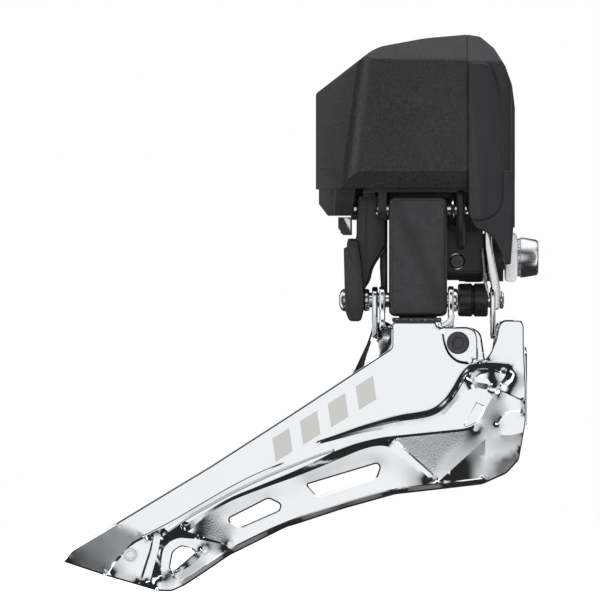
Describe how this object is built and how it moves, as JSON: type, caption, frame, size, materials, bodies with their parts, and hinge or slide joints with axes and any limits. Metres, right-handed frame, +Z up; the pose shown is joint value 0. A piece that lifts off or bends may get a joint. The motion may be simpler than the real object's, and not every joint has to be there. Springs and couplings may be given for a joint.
{
  "type": "front derailleur",
  "caption": "Motor-driven road front derailleur: black housing over parallelogram links and a long chromed cage, with real hinges, gear train and mounting bolt.",
  "frame": {"origin": "on the mounting bolt's axis, at the bracket's seat for the frame tab", "axes": "+X forward along the bike and along the mounting bolt towards its head, +Y inboard towards the seat tube, +Z up"},
  "size_m": [0.0959, 0.0347, 0.1119],
  "materials": {
    "black_screws": "black oxide",
    "bracket": "smooth satin black",
    "steel_pins": "ground",
    "circuit_board": "solder resist",
    "links_black": "satin black",
    "plated_steel": "bright plated",
    "bulkhead": "stamped",
    "gasket": "matt",
    "cage_chrome": "bright plated, polished",
    "motor_can": "drawn can",
    "cover": "fine-grained moulded black",
    "chip": "moulded",
    "motor_pinion": "machined",
    "bolt_silver": "turned, brushed",
    "reduction_gear": "machined",
    "spring": "spring wire",
    "sector_gear": "hardened, cut teeth",
    "bushes": "sintered",
    "seal": "matt",
    "skid_plate": "moulded",
    "drum": "moulded",
    "socket": "moulded"
  },
  "bodies": {
    "bracket": {"motor_cover": "cover", "base_bracket": "bracket", "housing_gasket": "gasket", "motor_can": "motor_can", "gear_bulkhead": "bulkhead", "reduction_axle": "steel_pins", "circuit_board": "circuit_board", "motor_driver_chip": "chip", "shaft_bush_rear": "bushes", "shaft_bush_middle": "bushes", "shaft_seal": "seal", "outer_upper_pin": "steel_pins", "mounting_bolt": "bolt_silver", "radius_washer": "bolt_silver", "wire_socket": "socket", "socket_plug": "seal"},
    "support_screw": {"support_screw": "black_screws"},
    "motor_rotor": {"motor_pinion": "motor_pinion"},
    "reduction_gear": {"reduction_gear": "reduction_gear"},
    "inner_link": {"output_shaft": "steel_pins", "sector_gear": "sector_gear", "drive_arm": "links_black", "arm_clamp_screw": "black_screws", "front_link": "plated_steel", "inner_lower_pin": "steel_pins", "inner_pin_clip": "steel_pins", "spring_drum": "drum", "rear_pin_washer": "steel_pins", "saver_spring": "spring"},
    "outer_link": {"outer_link": "links_black", "outer_lower_pin": "steel_pins"},
    "cage": {"outer_plate": "cage_chrome", "inner_plate": "cage_chrome", "bridge_screw": "black_screws", "bridge_spacer": "steel_pins", "tail_screw": "steel_pins", "tail_spacer": "steel_pins", "skid_plate": "skid_plate"}
  },
  "joints": [
    {"name": "inner_link_hinge", "type": "hinge", "parent": "bracket", "child": "inner_link", "pos_m": [-0.016, -0.0076, 0.00979], "axis": [-1, 0, 0], "range_deg": [0, 30]},
    {"name": "outer_link_hinge", "type": "hinge", "parent": "bracket", "child": "outer_link", "pos_m": [-0.0174, -0.0166, 0.00979], "axis": [-1, 0, 0], "range_deg": [0, 30]},
    {"name": "cage_hinge", "type": "hinge", "parent": "inner_link", "child": "cage", "pos_m": [-0.016, -0.01151, -0.0086], "axis": [-1, 0, 0], "range_deg": [-30, 0]},
    {"name": "reduction_gear_spin", "type": "hinge", "parent": "bracket", "child": "reduction_gear", "pos_m": [-0.0045, -0.0076, 0.02179], "axis": [-1, 0, 0], "range_deg": [-90, 0]},
    {"name": "motor_spin", "type": "hinge", "parent": "bracket", "child": "motor_rotor", "pos_m": [-0.0045, -0.00942, 0.03213], "axis": [-1, 0, 0], "range_deg": [0, 225]},
    {"name": "support_screw_travel", "type": "slide", "parent": "bracket", "child": "support_screw", "axis": [0, 1, 0], "range_m": [0, 0.003]}
  ],
  "couplings": [
    {"joint": "outer_link_hinge", "follows": "inner_link_hinge", "ratio": 1},
    {"joint": "cage_hinge", "follows": "inner_link_hinge", "ratio": -1},
    {"joint": "reduction_gear_spin", "follows": "inner_link_hinge", "ratio": -3},
    {"joint": "motor_spin", "follows": "inner_link_hinge", "ratio": 7.5}
  ]
}
